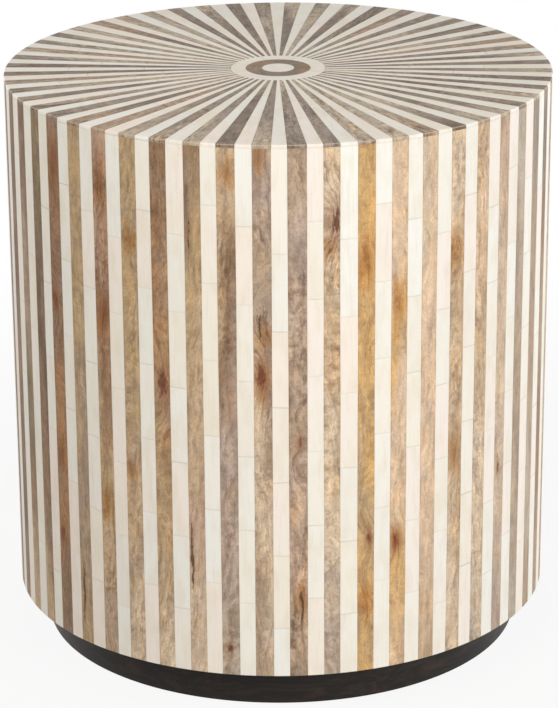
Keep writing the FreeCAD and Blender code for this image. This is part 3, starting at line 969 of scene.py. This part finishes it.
mesh, layers = inlay_mesh(WOOD_LAYERS)
for n, arc in enumerate(arcs_of("medallion_wood_ring")):
    draw = chance("wood ring", n)
    length = (arc.right - arc.left) * arc.outer * MM
    tones = [RING_TONES[n], RING_TONES[(n + 1) % len(RING_TONES)]]
    mark = wood_mark(layers, draw, tones, length, length, RING_FIGURED, UNFLAWED)
    ring_piece(mesh, arc, tile_sunk(draw), mark)
inlay_object("medallion_wood_ring", mesh, inlay_wood)

disc_low, disc_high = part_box("medallion_bone_disc")
disc_radius = disc_high.x
disc_top = disc_high.z - SHALLOWEST_TILE
mesh, layers = inlay_mesh(BONE_LAYERS)
mark = bone_mark(layers, DISC_SEED, DISC_TINT)
disc_section = [(disc_radius - EASE, disc_top), (disc_radius, disc_top - EASE), (disc_radius, disc_low.z)]
circles = []
for radius, z in disc_section:
    edge = (disc_radius - radius) * MM
    circle = []
    for n in range(DISC_SPOKES):
        place = at(radius, 2.0 * math.pi * n / DISC_SPOKES, z)
        point = mesh.verts.new(place)
        mark(point, place.x * MM, place.y * MM, edge, edge)
        circle.append(point)
    circles.append(circle)
for upper, lower in zip(circles, circles[1:]):
    for n in range(DISC_SPOKES):
        mesh.faces.new((upper[n - 1], upper[n], lower[n], lower[n - 1]))
middle = mesh.verts.new((0.0, 0.0, disc_top))
mark(middle, 0.0, 0.0, disc_radius * MM, disc_radius * MM)
for n in range(DISC_SPOKES):
    mesh.faces.new((circles[0][n - 1], circles[0][n], middle))
mesh.faces.new(circles[-1])
inlay_object("medallion_bone_disc", mesh, bone)


# Plinth
# Eight mitred lengths of solid wood, keyed with beech biscuits, make a ring that is turned round
# outside. It is stained black under a thin satin lacquer, and the red-brown wood faintly shows through.
PLINTH_SEGMENTS = 8
STAINED_DEPTH = 0.00012
BISCUIT_DEPTH = 0.0002

black_stain, start = new_finish("plinth_black")
across, out, up, segment = round_the_drum(start, PLINTH_SEGMENTS, 0.0)
sway = cloud(joined(start, across * 12.0, up * 30.0, segment * 3.1), 2.0)
fibres = up * 240.0 + sway * 6.0 + segment * 7.3
grain = cloud(joined(start, across * 9.0, out * 240.0, fibres), 5.0, 0.6)
wear = cloud(joined(start, across * 26.0, out * 26.0, up * 60.0 + segment * 5.7), 4.0, 0.6)
stain = mixed(rise(grain, 0.42, 0.72), paint(31, 27, 25), paint(49, 42, 38))
stain = mixed(rise(wear, 0.52, 0.72) * 0.6, stain, paint(68, 48, 42))
lay_surface(start, stain, 0.36 + grain * 0.2, relief(grain, STAINED_DEPTH), specular=0.2)
for number in range(1, PLINTH_SEGMENTS + 1):
    dress(f"plinth_segment_{number}", black_stain)

beech, start = new_finish("beech")
rays = blotches(start, 500.0, 90.0, 500.0, 3.0, 0.6)
pressed = mixed(rise(rays, 0.4, 0.7), paint(208, 172, 128), paint(174, 130, 86))
lay_surface(start, pressed, 0.55 + rays * 0.3, relief(rays, BISCUIT_DEPTH))
dress("plinth_biscuits", beech)


# Levelling feet
# Under every second plinth segment a brass insert takes a threaded steel stem with a black nylon foot.
# Turning the foot screws the stem out, so that the table stands firm on an uneven floor.
LEVELLERS = 4
PITCH = 0.00125
THREAD_DEPTH = 0.0007
THREAD_SPOKES = 32
THREAD_ROWS_PER_TURN = 8
THREAD_CHAMFER = 0.0008
THREAD_SHARP = 35.0
HEAD_EDGE = 0.9
METAL_DEPTH = 0.00004
NYLON_DEPTH = 0.00006

stem_steel, start = new_finish("stem_steel")
rolled = blotches(start, 500.0, 500.0, 1600.0, 4.0, 0.6)
steel = mixed(rolled, paint(150, 152, 154), paint(186, 187, 186))
lay_surface(start, steel, 0.26 + rolled * 0.25, relief(rolled, METAL_DEPTH), metallic=1.0)

insert_brass, start = new_finish("insert_brass")
tarnish = blotches(start, 300.0, 300.0, 300.0, 3.0, 0.6)
brass = mixed(rise(tarnish, 0.4, 0.7), paint(212, 176, 98), paint(160, 122, 66))
lay_surface(start, brass, 0.25 + tarnish * 0.3, relief(tarnish, METAL_DEPTH), metallic=1.0)
dress("leveller_inserts", insert_brass)

foot_nylon, start = new_finish("foot_nylon")
texture = blotches(start, 2200.0, 2200.0, 2200.0)
scuff = blotches(start, 160.0, 160.0, 160.0, 4.0, 0.65)
nylon = mixed(rise(scuff, 0.5, 0.75) * 0.6, paint(30, 30, 31), paint(62, 61, 60))
lay_surface(start, nylon, 0.45 + texture * 0.2, relief(texture, NYLON_DEPTH))


def stem_section(number, axis, head_radius):
    """Half of a stem's section from its head up: radius, height, and whether the thread is cut there."""
    points = [vertex.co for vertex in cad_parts[f"leveller_stem_{number}"].data.vertices]
    far = [(math.hypot(point.x - axis.x, point.y - axis.y), point.z) for point in points]
    head = [z for radius, z in far if radius > HEAD_EDGE * head_radius]
    shank = max(radius for radius, z in far if z > max(head) + WELD)
    top = max(z for radius, z in far)
    rows = steps(max(head) + WELD, top - THREAD_CHAMFER, PITCH / THREAD_ROWS_PER_TURN)
    section = [(head_radius, min(head), False), (head_radius, max(head), False)]
    section += [(shank, z, True) for z in rows]
    section.append((shank - THREAD_CHAMFER, top, False))
    return section


def threaded_stem(number):
    """A stem with its rolled thread, from the head in the foot up to its chamfered end."""
    low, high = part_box(f"leveller_stem_{number}")
    axis = (low + high) / 2.0
    head_radius = (high.x - low.x) / 2.0
    mesh = bmesh.new()
    rings = []
    for radius, z, threaded in stem_section(number, axis, head_radius):
        ring = []
        for n in range(THREAD_SPOKES):
            angle = 2.0 * math.pi * n / THREAD_SPOKES
            turn = ((z - low.z) / PITCH + n / THREAD_SPOKES) % 1.0
            cut = THREAD_DEPTH * abs(2.0 * turn - 1.0) if threaded else 0.0
            ring.append(mesh.verts.new(Vector((axis.x, axis.y, 0.0)) + at(radius - cut, angle, z)))
        rings.append(ring)
    for lower, upper in zip(rings, rings[1:]):
        for n in range(THREAD_SPOKES):
            mesh.faces.new((lower[n - 1], lower[n], upper[n], upper[n - 1]))
    mesh.faces.new(rings[0])
    mesh.faces.new(rings[-1])
    piece = smooth_piece(f"threaded_stem_{number}", mesh, THREAD_SHARP, stem_steel)
    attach(piece, f"stem_{number}")
    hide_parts(f"leveller_stem_{number}")


for number in range(1, LEVELLERS + 1):
    threaded_stem(number)
    dress(f"leveller_foot_{number}", foot_nylon)


# Studio
# The table stands on a plain pale floor against white. A broad low lamp at the front right, a weaker
# one high at the front left and two behind light it softly, with an even glow from all round.
WHITE = (1.0, 1.0, 1.0, 1.0)
FLOOR_HALF = 20.0
FLOOR_GLOW = 0.91
SHADOW_NEAR = 0.35
SHADOW_FAR = 1.1
ROOM_GLOW = 0.305
ROOM_COLOUR = (1.0, 0.96, 0.915, 1.0)
LENS = 156.4
SENSOR = 36.0
CAMERA_PLACE = (-0.0008, -2.452, 1.1345)
CAMERA_PITCH = math.radians(20.265)
CAMERA_ROLL = 0.0065


def seen_directly(start):
    """1 for what the camera, mirrors and glass show, 0 for light that falls on things."""
    kinds = ("Is Camera Ray", "Is Glossy Ray", "Is Transmission Ray")
    seen, mirrored, through = [start.node("ShaderNodeLightPath", {}, {}, kind) for kind in kinds]
    return start.math("MINIMUM", seen + mirrored + through, 1.0)


floor_finish, start = new_finish("floor")
lit = start.node("ShaderNodeBsdfDiffuse", {}, {"Color": paint(190, 189, 187)})
glow = start.node("ShaderNodeEmission", {}, {"Color": WHITE, "Strength": 1.0})
x, y, z = metres(start)
far = rise(start.math("SQRT", x * x + y * y), SHADOW_NEAR, SHADOW_FAR)
glow_share = seen_directly(start) * (FLOOR_GLOW + far * (1.0 - FLOOR_GLOW))
shown = start.node("ShaderNodeMixShader", {}, {0: glow_share, 1: lit, 2: glow})
below = start.node("ShaderNodeNewGeometry", {}, {}, "Backfacing")
clear = start.node("ShaderNodeBsdfTransparent", {}, {})
one_sided = start.node("ShaderNodeMixShader", {}, {0: below, 1: shown, 2: clear})
start.node("ShaderNodeOutputMaterial", {}, {"Surface": one_sided})
floor_mesh = bpy.data.meshes.new("floor")
corners = [(x * FLOOR_HALF, y * FLOOR_HALF, 0.0) for x, y in ((-1, -1), (1, -1), (1, 1), (-1, 1))]
floor_mesh.from_pydata(corners, [], [(0, 1, 2, 3)])
floor_mesh.materials.append(floor_finish)
floor = bpy.data.objects.new("floor", floor_mesh)
bpy.context.scene.collection.objects.link(floor)

world = bpy.data.worlds.new("studio")
world.use_nodes = True
world.node_tree.nodes.clear()
start = Shade(world.node_tree)
room = start.node("ShaderNodeBackground", {}, {"Color": ROOM_COLOUR, "Strength": ROOM_GLOW})
white = start.node("ShaderNodeBackground", {}, {"Color": WHITE, "Strength": 1.0})
sky = start.node("ShaderNodeMixShader", {}, {0: seen_directly(start), 1: room, 2: white})
start.node("ShaderNodeOutputWorld", {}, {"Surface": sky})
bpy.context.scene.world = world


def add_lamp(name, place, aim, size, power, colour):
    """A square soft lamp that looks at the drum's axis at a height."""
    light = bpy.data.lights.new(name, "AREA")
    light.shape = "SQUARE"
    light.size = size
    light.energy = power
    light.color = colour
    lamp = bpy.data.objects.new(name, light)
    lamp.location = place
    ahead = Vector((0.0, 0.0, aim)) - Vector(place)
    lamp.rotation_euler = ahead.to_track_quat("-Z", "Y").to_euler()
    bpy.context.scene.collection.objects.link(lamp)


add_lamp("key", (2.05, -1.9, 1.05), aim=0.25, size=2.0, power=48.0, colour=(1.0, 0.99, 0.96))
add_lamp("fill", (-0.75, -1.35, 1.5), aim=0.4, size=1.0, power=17.3, colour=(1.0, 0.96, 0.88))
add_lamp("back_right", (2.3, 1.7, 0.7), aim=0.25, size=1.4, power=28.0, colour=(1.0, 0.98, 0.96))
add_lamp("back_left", (-1.8, 2.2, 0.7), aim=0.25, size=1.4, power=26.0, colour=(1.0, 0.98, 0.96))

camera_data = bpy.data.cameras.new("camera")
camera_data.lens = LENS
camera_data.sensor_width = SENSOR
camera = bpy.data.objects.new("camera", camera_data)
tilt = Matrix.Rotation(0.5 * math.pi - CAMERA_PITCH, 3, "X") @ Matrix.Rotation(-CAMERA_ROLL, 3, "Z")
camera.location = CAMERA_PLACE
camera.rotation_euler = tilt.to_euler()
bpy.context.scene.collection.objects.link(camera)
bpy.context.scene.camera = camera
bpy.context.scene.view_settings.view_transform = "Standard"
